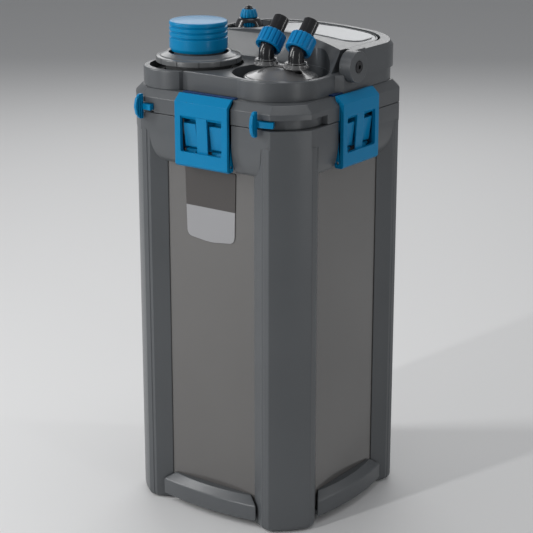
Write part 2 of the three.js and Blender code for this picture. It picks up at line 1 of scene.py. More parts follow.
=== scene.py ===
"""Canister filter: the finished surfaces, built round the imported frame. Shapes are in millimetres."""
from math import acos, cos, degrees, pi, radians, sin, sqrt, tan

import bmesh
import bpy
from mathutils import Matrix, Vector


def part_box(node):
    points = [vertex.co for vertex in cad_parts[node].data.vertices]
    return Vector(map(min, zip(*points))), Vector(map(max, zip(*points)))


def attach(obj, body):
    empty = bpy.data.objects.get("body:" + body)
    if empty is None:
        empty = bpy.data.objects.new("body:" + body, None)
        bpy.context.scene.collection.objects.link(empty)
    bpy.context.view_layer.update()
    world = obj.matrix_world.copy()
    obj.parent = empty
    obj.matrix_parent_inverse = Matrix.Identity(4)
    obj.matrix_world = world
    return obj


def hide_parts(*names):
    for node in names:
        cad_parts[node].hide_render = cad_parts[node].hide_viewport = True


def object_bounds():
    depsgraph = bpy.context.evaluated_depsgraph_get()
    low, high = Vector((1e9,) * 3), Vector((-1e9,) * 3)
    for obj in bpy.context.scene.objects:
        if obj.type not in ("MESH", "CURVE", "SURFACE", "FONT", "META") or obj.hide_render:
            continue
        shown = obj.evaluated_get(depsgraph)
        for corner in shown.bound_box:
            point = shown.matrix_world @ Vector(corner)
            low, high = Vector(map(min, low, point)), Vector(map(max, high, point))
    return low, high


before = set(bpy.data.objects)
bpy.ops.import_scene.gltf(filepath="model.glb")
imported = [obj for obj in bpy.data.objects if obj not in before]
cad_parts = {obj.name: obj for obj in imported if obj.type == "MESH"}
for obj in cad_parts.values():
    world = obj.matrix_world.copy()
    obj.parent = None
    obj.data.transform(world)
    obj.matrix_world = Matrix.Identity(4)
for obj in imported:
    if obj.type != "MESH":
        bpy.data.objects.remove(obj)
cad_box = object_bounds()
MM = 0.001


def box(name):
    """Lowest and highest corner of a CAD node, in millimetres."""
    low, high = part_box(name)
    return Vector(low) / MM, Vector(high) / MM


def middle(name):
    low, high = box(name)
    return (low + high) / 2


# ---- sizes read from the frame
BODY = box("head_base")[1].x  # half width of the body
SEAM = box("head_base")[0].z  # where the head meets the canister
SHOULDER = box("head_base")[1].z
PANEL = box("vessel")[1].x  # half width over the panels
POST = box("outer_frame")[1].x  # half width over the posts
COLLAR_TOP = box("outer_frame")[1].z
HANDLE_SIDE = box("carry_handle")[1].x
CROWN = box("head_cover")[1].z
REAR = box("head_cover")[1].y
CAP = middle("priming_cap")
DOME = middle("hose_adapter")
HEATER = middle("heater_base")
HUB = middle("hub_cap_right")
LATCH = box("latch_front")
PIVOT = middle("latch_pin_front")

# ---- sizes that several pieces share
CORNER = 28.8  # centre of each corner's shallow arc, along X and Y
CORNER_RADIUS = 113.8
CORNER_END_ROUND = 1.6  # round where a corner's arc meets a face
PANEL_ROUND = 45.0  # radius of the tub's own upright corners
LEVER = 72.0  # centre that each lift lever turns about, along X and Y
CHAMFER = 9.0  # of the head's shoulder
BAND_TOP = SHOULDER - CHAMFER
BROW_TOP = COLLAR_TOP - 21.2  # where the collar starts to round in
BROW_BOTTOM = COLLAR_TOP - 56.2
LOBE_TOP = SHOULDER + 22.0
LOBE_RADIUS = 57.0
CROWN_SAG = 9.5  # how far the rear section's top falls over half the depth of the head
GAP = 0.3
FAR = 140.0  # beyond every face of the body, for tools that cut right out of it
SHARP = 32  # degrees; an edge that folds further than this stays sharp


# ---- outlines
def arc(x, y, radius, start, stop, steps):
    """Points along an arc, angles in degrees."""
    turn = [radians(start + (stop - start) * i / steps) for i in range(steps + 1)]
    return [Vector((x + radius * cos(a), y + radius * sin(a))) for a in turn]


def four_corners(corner):
    turned = [Matrix.Rotation(radians(90 * quarter), 2) for quarter in range(4)]
    return [turn @ point for turn in turned for point in corner]


def corner_arc(half, radius, steps=10):
    start = degrees(acos((half - CORNER) / radius))
    return arc(CORNER, CORNER, radius, start, 90 - start, steps)


def body_outline(inset):
    """The body's outline moved in by an inset: shallow corner arcs with a small round at each end."""
    curve = corner_arc(BODY - inset, CORNER_RADIUS - inset)
    outline = four_corners(curve)
    radii = ([CORNER_END_ROUND] + [0] * (len(curve) - 2) + [CORNER_END_ROUND]) * 4
    return fillet(outline, radii, 4)


def rounded_square(half, radius, steps=14):
    return four_corners(arc(half - radius, half - radius, radius, 0, 90, steps))


def rounded_box(x0, x1, y0, y1, radius, steps=8):
    left, right, low, high = x0 + radius, x1 - radius, y0 + radius, y1 - radius
    centres = ((right, high, 0), (left, high, 90), (left, low, 180), (right, low, 270))
    return [point for x, y, turn in centres for point in arc(x, y, radius, turn, turn + 90, steps)]


def fillet(corners, radius, steps=4):
    """A closed outline with its corners rounded; radius is one number, or one for each corner."""
    corners = [Vector(corner) for corner in corners]
    radii = radius if isinstance(radius, (list, tuple)) else [radius] * len(corners)
    outline = []
    for i, corner in enumerate(corners):
        before = corners[i - 1] - corner
        after = corners[(i + 1) % len(corners)] - corner
        half = before.angle(after) / 2
        reach = radii[i] / tan(half) if radii[i] else 0
        reach = min(reach, 0.48 * before.length, 0.48 * after.length)
        if reach < 0.05:
            outline.append(corner)
            continue
        first = corner + before.normalized() * reach
        last = corner + after.normalized() * reach
        for step in range(steps + 1):
            t = step / steps
            outline.append(first.lerp(corner, t).lerp(corner.lerp(last, t), t))
    return outline


def inset(points, distance):
    """The counter-clockwise outline moved in by a small distance."""
    points = [Vector(point) for point in points]
    moved = []
    for i, point in enumerate(points):
        edge = (points[(i + 1) % len(points)] - point).normalized()
        along = (point - points[i - 1]).normalized() + edge
        side = Vector((-along.y, along.x)).normalized()
        slant = max(0.5, abs(side.dot(Vector((-edge.y, edge.x)))))
        moved.append(point + side * distance / slant)
    return moved


# ---- meshes
def make(points, faces):
    mesh = bpy.data.meshes.new("piece")
    mesh.from_pydata([Vector(p) * MM for p in points], [], faces)
    piece = bpy.data.objects.new("piece", mesh)
    bpy.context.scene.collection.objects.link(piece)
    return piece


def loft(rings):
    """A closed body through rings of equal point count, capped at both ends."""
    count = len(rings[0])
    faces = [list(reversed(range(count)))]
    for level in range(len(rings) - 1):
        base = level * count
        for i in range(count):
            j = (i + 1) % count
            faces.append((base + i, base + j, base + count + j, base + count + i))
    faces.append(list(range(count * (len(rings) - 1), count * len(rings))))
    return make([point for ring in rings for point in ring], faces)


def rounding(radius, steps=3):
    """Pairs of (inset, height) that round an edge of that radius, from the face outwards."""
    turn = [pi / 2 * i / steps for i in range(steps + 1)]
    return [(radius * (1 - sin(a)), radius * (1 - cos(a))) for a in turn]


def levels(low, high, low_round, high_round):
    """Pairs of (inset, height) from one end to the other, with either end rounded."""
    bottom, top = [(0, low)], [(0, high)]
    if low_round:
        bottom = [(draw, low + rise) for draw, rise in rounding(low_round)]
    if high_round:
        top = [(draw, high - rise) for draw, rise in reversed(rounding(high_round))]
    return bottom + top


def slab(outline, z0, z1, low_round=0.0, high_round=0.0):
    """An outline drawn up along Z, with its rims rounded."""
    rows = levels(z0, z1, low_round, high_round)
    return loft([[(p.x, p.y, z) for p in inset(outline, draw)] for draw, z in rows])


def bar(profile, x0, x1, end_round=0.0):
    """A YZ profile drawn along X, with its end rims rounded."""
    rows = levels(x0, x1, end_round, end_round)
    return loft([[(x, p.x, p.y) for p in inset(profile, draw)] for draw, x in rows])


def turned(profile, sides=72, centre=(0, 0)):
    """A closed profile of (radius, height) turned about a vertical axis."""
    points, faces = [], []
    rows = [Vector(p) for p in profile]
    for step in range(sides):
        angle = 2 * pi * step / sides
        east, north = cos(angle), sin(angle)
        points += [(centre[0] + p.x * east, centre[1] + p.x * north, p.y) for p in rows]
    count = len(rows)
    for step in range(sides):
        here, there = step * count, ((step + 1) % sides) * count
        for i in range(count):
            j = (i + 1) % count
            faces.append((here + i, there + i, there + j, here + j))
    piece = make(points, faces)
    clean(piece)
    return piece


def clean(piece):
    """Merges the points that meet on an axis and turns the faces outwards."""
    work = bmesh.new()
    work.from_mesh(piece.data)
    bmesh.ops.remove_doubles(work, verts=work.verts, dist=1e-6)
    bmesh.ops.dissolve_degenerate(work, edges=work.edges, dist=1e-7)
    bmesh.ops.recalc_face_normals(work, faces=work.faces)
    work.to_mesh(piece.data)
    work.free()


def apply_modifiers(piece):
    bpy.context.view_layer.update()
    final = bpy.data.meshes.new_from_object(piece.evaluated_get(bpy.context.evaluated_depsgraph_get()))
    piece.modifiers.clear()
    piece.data = final


def combine(piece, others, how):
    for other in others:
        step = piece.modifiers.new(how.lower(), "BOOLEAN")
        step.operation = how
        step.solver = "MANIFOLD"
        step.object = other
        apply_modifiers(piece)
        bpy.data.objects.remove(other)
    return piece


def cut(piece, *tools):
    return combine(piece, tools, "DIFFERENCE")


def join(piece, *others):
    return combine(piece, others, "UNION")


def keep(piece, *shapes):
    return combine(piece, shapes, "INTERSECT")


def soften(piece, width, segments=2, angle=35):
    """Rounds the sharp edges that cuts and joins leave."""
    step = piece.modifiers.new("edges", "BEVEL")
    step.width = width * MM
    step.segments = segments
    step.limit_method = "ANGLE"
    step.angle_limit = radians(angle)
    step.use_clamp_overlap = True
    apply_modifiers(piece)
    return piece


def block(x0, x1, y0, y1, z0, z1):
    return slab([(x0, y0), (x1, y0), (x1, y1), (x0, y1)], z0, z1)


def circle(x, y, radius, sides=64):
    return arc(x, y, radius, 0, 360 - 360 / sides, sides - 1)


def drum(x, y, radius, z0, z1, top_radius=None, sides=72):
    """An upright cylinder, or a cone where its top has a radius of its own."""
    top = radius if top_radius is None else top_radius
    ends = [(circle(x, y, radius, sides), z0), (circle(x, y, top, sides), z1)]
    return loft([[(p.x, p.y, z) for p in ring] for ring, z in ends])


def barrel(x0, x1, y, z, radius, sides=64):
    return loft([[(x, p.x, p.y) for p in circle(y, z, radius, sides)] for x in (x0, x1)])


def rotated(piece, angle, axis="Z"):
    """Turned about an axis by an angle in degrees."""
    piece.data.transform(Matrix.Rotation(radians(angle), 4, axis))
    return piece


def shifted(piece, x, y, z=0.0):
    piece.data.transform(Matrix.Translation((x * MM, y * MM, z * MM)))
    return piece


def span(side, near, far):
    """From near to far, on the right for side 1 and on the left for side -1."""
    return sorted((side * near, side * far))


def dress(piece, material, body, node=None, name=None):
    """Gives a piece its name and surface, and hangs it on its body in place of the CAD node.

    The slot is the material's name, without the dot and the number that Blender
    adds to a name in use.
    """
    piece.name = name or f"{node}_surface"
    piece.data.materials.clear()
    piece.data.materials.append(material)
    piece.data.shade_smooth()
    piece.data.set_sharp_from_angle(angle=radians(SHARP))
    even = piece.modifiers.new("even", "WEIGHTED_NORMAL")
    even.keep_sharp = True
    apply_modifiers(piece)
    if node:
        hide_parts(node)
    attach(piece, body)


# ---- surfaces
def wire(tree, node, **inputs):
    """Gives a node's inputs their values, or links them from sockets."""
    for name, value in inputs.items():
        socket = node.inputs[name.replace("_", " ")]
        if isinstance(value, bpy.types.NodeSocket):
            tree.links.new(value, socket)
        else:
            socket.default_value = value


def add(tree, kind, **inputs):
    node = tree.nodes.new("ShaderNode" + kind)
    wire(tree, node, **inputs)
    return node


def blend_colours(tree, factor, first, second):
    mix = tree.nodes.new("ShaderNodeMix")
    mix.data_type = "RGBA"
    tree.links.new(factor, mix.inputs[0])
    mix.inputs[6].default_value = (*first, 1)
    mix.inputs[7].default_value = (*second, 1)
    return mix.outputs[2]


def spread(tree, value, low, high):
    return add(tree, "MapRange", Value=value, To_Min=low, To_Max=high).outputs["Result"]


def bump(tree, height, strength, distance):
    return add(tree, "Bump", Height=height, Strength=strength, Distance=distance).outputs["Normal"]


def shade(colour, factor):
    return tuple(min(1.0, c * factor) for c in colour)


def blank(name):
    material = bpy.data.materials.new(name)
    material.use_nodes = True
    tree = material.node_tree
    place = add(tree, "TexCoord").outputs["Object"]
    return material, tree, tree.nodes["Principled BSDF"], place


def plastic(name, colour, roughness, grain=0.05, grain_size=0.45, metal=0.0, coat=0.0, drift=0.12,
            gloss=0.5):
    """Moulded plastic: a fine spark-eroded grain, and a colour and a gloss that drift a little."""
    material, tree, shader, place = blank(name)
    clouds = add(tree, "TexNoise", Vector=place, Scale=9.0, Detail=3.0).outputs["Fac"]
    fine = add(tree, "TexNoise", Vector=place, Scale=1 / (grain_size * MM), Detail=2.0).outputs["Fac"]
    pits = add(tree, "TexVoronoi", Vector=place, Scale=0.6 / (grain_size * MM)).outputs["Distance"]
    tint = blend_colours(tree, clouds, shade(colour, 1 - drift), shade(colour, 1 + drift))
    rough = spread(tree, fine, roughness - 0.06, roughness + 0.06)
    height = add(tree, "Math", Value=fine)
    tree.links.new(pits, height.inputs[1])
    normal = bump(tree, height.outputs[0], grain, grain_size * MM)
    wire(tree, shader, Base_Color=tint, Roughness=rough, Normal=normal, Metallic=metal)
    wire(tree, shader, Specular_IOR_Level=gloss, Coat_Weight=coat, Coat_Roughness=0.08)
    return material


def brushed(name, colour, roughness):
    """Steel drawn along X: long fine scratches."""
    material = plastic(name, colour, roughness, grain=0.02, metal=1.0, drift=0.05)
    tree = material.node_tree
    place = add(tree, "TexCoord").outputs["Object"]
    stretched = add(tree, "Mapping", Vector=place, Scale=(60, 6000, 6000)).outputs["Vector"]
    lines = add(tree, "TexNoise", Vector=stretched, Scale=1.0).outputs["Fac"]
    rough = spread(tree, lines, roughness - 0.1, roughness + 0.15)
    wire(tree, tree.nodes["Principled BSDF"], Roughness=rough)
    return material


def foam(name, colour):
    """Open-cell foam: painted shade darkens the pores between the lighter struts."""
    material, tree, shader, place = blank(name)
    cells = add(tree, "TexVoronoi", Vector=place, Scale=420.0).outputs["Distance"]
    # painted shade: the pores darken to a quarter of the foam's colour
    tint = blend_colours(tree, spread(tree, cells, 0.0, 1.0), shade(colour, 0.25), colour)
    wire(tree, shader, Base_Color=tint, Normal=bump(tree, cells, 0.9, 0.002), Roughness=0.95)
    return material


def rings(name, colour):
    """Loose ceramic rings: rounded lumps, with painted shade in the deep gaps between them."""
    material, tree, shader, place = blank(name)
    lumps = add(tree, "TexVoronoi", Vector=place, Scale=80.0).outputs["Distance"]
    edge = add(tree, "MapRange", Value=lumps, From_Min=0.35, From_Max=0.75).outputs["Result"]
    # painted shade: the gaps between the lumps darken to 12% of the ceramic colour
    tint = blend_colours(tree, edge, colour, shade(colour, 0.12))
    normal = bump(tree, spread(tree, lumps, 1.0, 0.0), 1.0, 0.008)
    wire(tree, shader, Base_Color=tint, Normal=normal, Roughness=0.85)
    return material


def label_print(name, upper, lower):
    """A printed label: a dark upper field over a light lower one, parted by a level line."""
    material = plastic(name, lower, 0.35, grain=0.01, drift=0.02)
    tree = material.node_tree
    place = add(tree, "TexCoord").outputs["Object"]
    height = add(tree, "SeparateXYZ", Vector=place).outputs["Z"]
    low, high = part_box("label_plate")
    parting = low[2] + 0.47 * (high[2] - low[2])
    above = add(tree, "MapRange", Value=height, From_Min=parting, From_Max=parting + 0.0004)
    tint = blend_colours(tree, above.outputs["Result"], lower, upper)
    wire(tree, tree.nodes["Principled BSDF"], Base_Color=tint)
    return material


GREY = plastic("grey_plastic", (0.082, 0.088, 0.094), 0.33, grain=0.09, grain_size=0.5)
SMOKY = plastic("smoky_plastic", (0.102, 0.098, 0.095), 0.17, grain=0.015, coat=0.6, drift=0.06)
BLACK = plastic("black_plastic", (0.014, 0.014, 0.016), 0.18, grain=0.04, grain_size=0.4)
BLUE = plastic("blue_plastic", (0.0, 0.19, 0.40), 0.33, grain=0.05, grain_size=0.4, coat=0.08, gloss=0.15)
NUT_BLUE = plastic("blue_nut", (0.0, 0.18, 0.42), 0.34, grain=0.05, grain_size=0.4, coat=0.1, gloss=0.2)
# painted shade: a darker copy of the blue plastic, for the strike strip that lies in shade under the
# latch's lip
SHADED_BLUE = plastic("blue_plastic_painted_shade", (0.004, 0.035, 0.13), 0.4, grain=0.05, grain_size=0.4, gloss=0.3)
SILVER = plastic("silver_plastic", (0.30, 0.31, 0.32), 0.34, grain=0.03, metal=0.3)
COLLAR_GREY = plastic("pale_grey_plastic", (0.105, 0.11, 0.113), 0.3, 0.06, 0.5, coat=0.2)
PEWTER = plastic("pewter_plastic", (0.16, 0.16, 0.162), 0.26, grain=0.02, metal=0.25, coat=0.2)
RUBBER = plastic("rubber", (0.012, 0.012, 0.012), 0.75, grain=0.15)
CERAMIC = plastic("ceramic", (0.68, 0.64, 0.56), 0.8, grain=0.5, grain_size=1.6)
STEEL = brushed("steel", (0.60, 0.61, 0.63), 0.3)
MAGNET = plastic("magnet", (0.05, 0.05, 0.055), 0.45, grain=0.1, metal=0.8)
RINGS = rings("ceramic_rings", (0.70, 0.66, 0.58))
BLUE_FOAM = foam("blue_foam", (0.02, 0.14, 0.42))
ORANGE_FOAM = foam("orange_foam", (0.62, 0.16, 0.03))
LABEL = label_print("label", (0.055, 0.05, 0.048), (0.30, 0.30, 0.31))


# ---- canister
POST_EDGE = 79.0  # where a post's slanted side meets its front, across the face
PANEL_EDGE = 60.0  # where that side meets the panel
POST_RADIUS = CORNER_RADIUS - 0.5
POST_FOOT_ROUND = 8.0
LIP_DEPTH = 0.8  # step along each long edge of a post
LIP_WIDTH = 3.4
POCKET_DEPTH = 9.5  # of the recess behind each latch
TUB_WALL = 4.0
TUB_FLOOR = 17.0
TRAY_TOP = 11.7
TRIM_REACH = 70.0  # half width of the arched trim between two posts
TRIM_BULGE = 7.0
TRIM_ENDS = 54.0  # half width at its back, and how far back that lies
TRIM_BACK = 112.3


def post_side(depth):
    return PANEL_EDGE + (depth - PANEL) * (POST_EDGE - PANEL_EDGE) / (POST - PANEL)


def post():
    """A corner post: a shallow outer curve with a lip along each edge, and a round foot."""
    inside = PANEL + GAP
    centre = inside - PANEL_ROUND

    def ring(draw, z):
        face = POST - draw
        curve = corner_arc(face, POST_RADIUS - draw)
        edge = POST_EDGE + draw * 0.2
        lip = [
            (face - LIP_DEPTH, edge),
            (face - LIP_DEPTH, edge + LIP_WIDTH),
            (face, edge + LIP_WIDTH + 0.9),
        ]
        corners = [(inside, PANEL_EDGE + draw), *lip, *curve]
        corners += [*((y, x) for x, y in reversed(lip)), (PANEL_EDGE + draw, inside)]
        inner = arc(centre, centre, PANEL_ROUND, 90, 0, 14)
        edge_radii = [0.8, 1.6, 0.3, 0.3, 3]
        radii = edge_radii + [0] * (len(curve) - 2) + edge_radii[::-1] + [0] * len(inner)
        return [(p.x, p.y, z) for p in fillet(corners + inner, radii, 3)]

    foot = [ring(draw, rise) for draw, rise in rounding(POST_FOOT_ROUND, 6)]
    return loft(foot + [ring(0, BROW_TOP + 1)])


def brow():
    """The collar's lower edge between two posts, rounded in to the panel."""
    rings = []
    steps = 16
    overlap = 0.5  # into the posts at both ends
    inside = -105
    for i in range(steps + 1):
        angle = pi / 2 * i / steps
        depth = PANEL + 1 + (BODY - PANEL - 1) * sin(angle)
        z = BROW_TOP + 0.01 - (BROW_TOP - BROW_BOTTOM) * cos(angle)
        side = post_side(depth) + overlap
        root = post_side(PANEL) + overlap
        rings.append([(-side, -depth, z), (side, -depth, z), (root, inside, z), (-root, inside, z)])
    return loft(rings)


def outer_frame():
    """The collar, with a pocket behind each latch, and the four posts."""
    body = slab(body_outline(0), BROW_TOP, COLLAR_TOP, 0, 0.7)
    pocket = LATCH[1].x + 1.5
    back = POCKET_DEPTH - BODY
    for quarter in range(4):
        join(body, rotated(brow(), 90 * quarter))
        cut(body, rotated(block(-pocket, pocket, -FAR, back, BROW_TOP - 1, SEAM + 1), 90 * quarter))
        cut(body, rotated(block(-pocket, pocket, -FAR, -100, BROW_BOTTOM - 1, BROW_TOP), 90 * quarter))
    cut(body, slab(rounded_square(PANEL + GAP, PANEL_ROUND), 400, 500))
    for quarter in range(4):
        join(body, rotated(post(), 90 * quarter))
    return soften(body, 0.7)


def vessel():
    low, high = box("vessel")
    outer = slab(rounded_square(PANEL, PANEL_ROUND, 20), low.z, high.z, 1.5, 0.6)
    room = rounded_square(PANEL - TUB_WALL, PANEL_ROUND - TUB_WALL, 20)
    return cut(outer, slab(room, TUB_FLOOR, high.z + 50))


def base_tray():
    """The tray under the tub, with an arched trim between each pair of posts."""
    low = box("base_tray")[0]
    tray = slab(rounded_square(PANEL - 0.5, PANEL_ROUND), low.z, TRAY_TOP, 1, 0)

    def trim_ring(draw, z):
        reach = TRIM_REACH - draw * 1.6
        across = [i / 12 - 1 for i in range(25)]
        bulge = [(reach * t, low.y + TRIM_BULGE * t * t + draw) for t in across]
        ends = [(TRIM_ENDS, -TRIM_BACK), (-TRIM_ENDS, -TRIM_BACK)]
        outline = fillet(bulge + ends, [2.5] + [0] * 23 + [2.5, 0.5, 0.5], 3)
        return [(p.x, p.y, z) for p in outline]

    upright = [(1.5, 8), (0.5, 8.5), (0, 10), (0, 26), (0.4, 27.4), (1.2, 28.6)]
    slope = [(7, 35), (7.6, 35.7), (8, 36)]
    for quarter in range(4):
        trim = loft([trim_ring(draw, z) for draw, z in upright + slope])
        root = block(-50, 50, -114, -105, 8, TRAY_TOP)
        join(tray, rotated(trim, 90 * quarter), rotated(root, 90 * quarter))
    return tray


def label_plate():
    low, high = box("label_plate")
    middle_x = (low.x + high.x) / 2
    narrowing, bow = 2.2, 4
    corners = [(high.x, high.z), (low.x, high.z), (low.x + narrowing, low.z + bow), (middle_x, low.z)]
    corners.append((high.x - narrowing, low.z + bow))
    outline = fillet(corners, [1.5, 1.5, 9, 80, 9], 10)
    plate = slab(outline, 0, high.y - low.y, 0, 0.25)
    return shifted(rotated(plate, 90, "X"), 0, high.y)


dress(outer_frame(), GREY, "canister", "outer_frame")
dress(vessel(), SMOKY, "canister", "vessel")
dress(base_tray(), GREY, "canister", "base_tray")
dress(label_plate(), LABEL, "canister", "label_plate")


# ---- latches
SIDES = ("front", "right", "back", "left")  # in quarter turns from the front
LATCH_INSIDE = -125.5  # inner face of the latch's plate
LATCH_HALF = LATCH[1].x
WINDOW_HALF = 29.0
WINDOW_LOW, WINDOW_HIGH = 445.0, 483.0
WINDOW_BACK = 123.0
WEB_HALF = 7.5  # the upright web in the middle of the window
EYE_RADIUS = 2.1


def latch_plate():
    """A plate with a slanted lip, hinged cheeks, and a window with a ramp and a web."""
    low, high = LATCH
    outer, inside = low.y, LATCH_INSIDE
    profile = [(outer, 430.2), (outer + 2.5, low.z), (inside, low.z), (inside, 499.9)]
    profile += [(high.y, 506.6), (high.y, high.z), (high.y - 3, high.z), (outer, 502)]
    profile = fillet(profile, [1.2, 1.2, 0.4, 2, 0.4, 0.4, 0.5, 0.5], 3)
    plate = bar(profile, -LATCH_HALF, LATCH_HALF, 0.6)
    cheek = [(inside - 0.5, 427.7), (-119.5, 427.7), (-118, 430), (-118, 440), (inside - 0.5, 476)]
    cheek = fillet(cheek, [0.2, 1, 1, 2, 0.2], 3)
    for side in (-1, 1):
        join(plate, bar(cheek, *span(side, LATCH_HALF - 4.5, LATCH_HALF), 0.4))
    opening = [(-WINDOW_HALF, WINDOW_LOW), (WINDOW_HALF, WINDOW_LOW)]
    opening += [(WINDOW_HALF, WINDOW_HIGH), (-WINDOW_HALF, WINDOW_HIGH)]
    hole = rotated(slab(fillet(opening, [3, 3, 1, 1], 4), WINDOW_BACK, FAR), 90, "X")
    ramp = [(-FAR, 497.5), (-FAR, 480), (-126.6, 482.5), (-126.6, 483)]
    ramp = bar(ramp, -WINDOW_HALF, WINDOW_HALF)
    cut(plate, hole, ramp, barrel(-50, 50, PIVOT.y, PIVOT.z, EYE_RADIUS, 24))
    web = [(inside, 444), (inside, 484), (-129.2, 486), (-128.9, 482), (-126.8, 447), (-126.8, 444)]
    join(plate, bar(fillet(web, [0, 0, 0, 1, 0.5, 0], 3), -WEB_HALF, WEB_HALF, 0.4))
    return soften(plate, 0.5)


def keeper():
    """A back plate with two slanted pads that show in the window, over the hinge's lugs."""
    low, high = box("keeper_front")
    face, back = low.y, -115.5
    body = block(low.x, high.x, -116, -114.8, 446, high.z)
    pad = [(back, 450), (face + 3.6, 450), (face, 477.5), (back, 477.5)]
    ledge = [(-120.5, 443.5), (back, 443.5), (back, 448), (-120.5, 447)]
    lug = [(-125, 434), (-123.5, 431.4), (-120.5, 431.4), (-119, 434), (-119, 446), (-121, 446)]
    pad, ledge, lug = fillet(pad, [0, 1.5, 1, 0], 5), fillet(ledge, [1, 0, 0, 1], 3), fillet(lug, 0.6, 3)
    for side in (-1, 1):
        for profile, near, far, end_round in (
            (pad, 9.6, 26.4, 0.9), (ledge, 8.2, 28.4, 0.3), (lug, 14, 23, 0.3),
        ):
            join(body, bar(profile, *span(side, near, far), end_round))
    return cut(body, barrel(-40, 40, PIVOT.y, PIVOT.z, 1.9, 24))


def strike():
    """The strip on the shoulder that the latch's lip closes against, in a darker blue that paints the
    shade it lies in.
    """
    front, back, foot = -115, -108.6, SHOULDER - 0.2
    outline = fillet([(front, foot), (back, foot), (back, 510.6), (front, 510.9)], 0.4, 2)
    return bar(outline, 0.5 - LATCH_HALF, LATCH_HALF - 0.5, 0.5)


for quarter, side in enumerate(SIDES):
    for piece, material, body, cad_node, name in (
        (latch_plate(), BLUE, f"latch_{side}", f"latch_{side}", None),
        (keeper(), BLUE, "canister", f"keeper_{side}", None),
        # the strike's darker blue is painted shade
        (strike(), SHADED_BLUE, "head", None, f"strike_{side}"),
    ):
        clean(piece)
        dress(rotated(piece, 90 * quarter), material, body, cad_node, name)


# ---- head
PORT = 20.5  # each port's distance from the middle of the hose adapter
PORT_BORE = 10.0
CAP_BORE = 41.8  # radius of the way through the head for the pre-filter
HEATER_BORE = 13.0
LEVER_SLOT = (46.0, 64.0)  # inner and outer radius
LEVER_SLOT_TOP = 494.0
PUMP_BORE = (30.0, 65.5, 31.0)  # x, y and radius of the opening over the motor
WELL = Vector((49.5, -46.0))  # middle of the deep recess around the hose adapter
WELL_RADIUS = 55.5
HUB_INSIDE = 109.8  # where each hub of the handle starts
HUB_RADIUS = 18.0
CLEAR = 0.6  # around the handle's hubs, and around the plates let in to the cover
SKY = 600.0  # above the head, for tools that cut out of its top
SLANT = degrees(0.33)  # of the slope in front of the top plate, seen from above


def sector(x, y, inner, outer, start, stop, z0, z1):
    outline = arc(x, y, outer, start, stop, 30) + arc(x, y, inner, stop, start, 30)
    return slab(outline, z0, z1)


def ports(radius, z0, z1):
    return [drum(DOME.x + side * PORT, DOME.y, radius, z0, z1) for side in (-1, 1)]


def head_base():
    """The head's band and chamfered shoulder, with two lever slots."""
    rows = [(0.7, SEAM), (0.2, SEAM + 0.3), (0, SEAM + 0.8), (0, BAND_TOP - 0.5), (0.15, BAND_TOP)]
    rows += [(0.5, BAND_TOP + 0.5), (CHAMFER - 0.6, SHOULDER - 0.6), (CHAMFER, SHOULDER - 0.15)]
    rows += [(CHAMFER + 0.7, SHOULDER)]
    body = loft([[(p.x, p.y, z) for p in body_outline(draw)] for draw, z in rows])
    under, over = 490, 515
    cut(
        body,
        slab(rounded_square(106, 40), SEAM - 5, BAND_TOP - 4),
        sector(LEVER, -LEVER, *LEVER_SLOT, -93, 13, SEAM - 5, LEVER_SLOT_TOP),
        sector(-LEVER, -LEVER, *LEVER_SLOT, -188, -89.5, SEAM - 5, LEVER_SLOT_TOP),
        drum(CAP.x, CAP.y, CAP_BORE, under, over),
        drum(*PUMP_BORE, under, over),
        drum(HEATER.x, HEATER.y, HEATER_BORE, under, over),
        *ports(PORT_BORE, under, over),
    )
    return soften(body, 0.5)


def crown_slab(low, high):
    """What lies between two heights above the rear section's crowned top."""
    reach = 130
    radius = (REAR * REAR + CROWN_SAG * CROWN_SAG) / (2 * CROWN_SAG)
    across = [reach - 2 * reach * i / 48 for i in range(49)]
    line = [(x, CROWN + sqrt(radius * radius - x * x) - radius) for x in across]
    upper = [(x, z + high) for x, z in line]
    lower = [(x, z + low) for x, z in reversed(line)]
    return loft([[(x, y, z) for x, z in upper + lower] for y in (150, -150)])


def scoop(x, y, low_radius, high_radius):
    return drum(x, y, low_radius, LOBE_TOP, SKY, high_radius)


def plate_outline(grow):
    return rounded_box(-38 - grow, 96 + grow, 36 - grow, 98 + grow, 24)


def panel_outline(grow):
    return rounded_box(-99 - grow, -41 + grow, 36 - grow, 98 + grow, 20)


def tower_walls():
    """The rear section, leaning in near its top so that the handle's bar swings past."""
    centre, corner, front = 69, 33, -60
    half = centre + corner
    rings = []
    for draw, z in ((0, 515), (0, 547), (5, 575)):
        walls = arc(centre, centre, corner - draw, 0, 90, 12)
        walls += arc(-centre, centre, corner - draw, 90, 180, 12)
        walls += [Vector((draw - half, front)), Vector((half - draw, front))]
        rings.append([(p.x, p.y, z) for p in walls])
    return loft(rings)


def lobe_outline():
    """The cover seen from above: two lobes in front and two round corners behind."""
    centre = 70
    outline = arc(DOME.x, -50, LOBE_RADIUS, -112.9, 0, 40) + [(109, -24), (REAR, -16)]
    outline += arc(centre, centre, REAR - centre, 0, 90, 16)
    outline += arc(-centre, centre, REAR - centre, 90, 180, 16) + [(-REAR, -40)]
    return outline + arc(-LEVER, -LEVER, 43.5, 184, 305, 40) + [(-45.5, -102.5)]


def slope(foot, top, half):
    """What lies in front of a slanted face that rises from a foot (y) to a top (y, z)."""
    profile = [(-130, LOBE_TOP), (foot, LOBE_TOP), top, (top[0], SKY), (-130, SKY)]
    return bar(profile, -half, half)


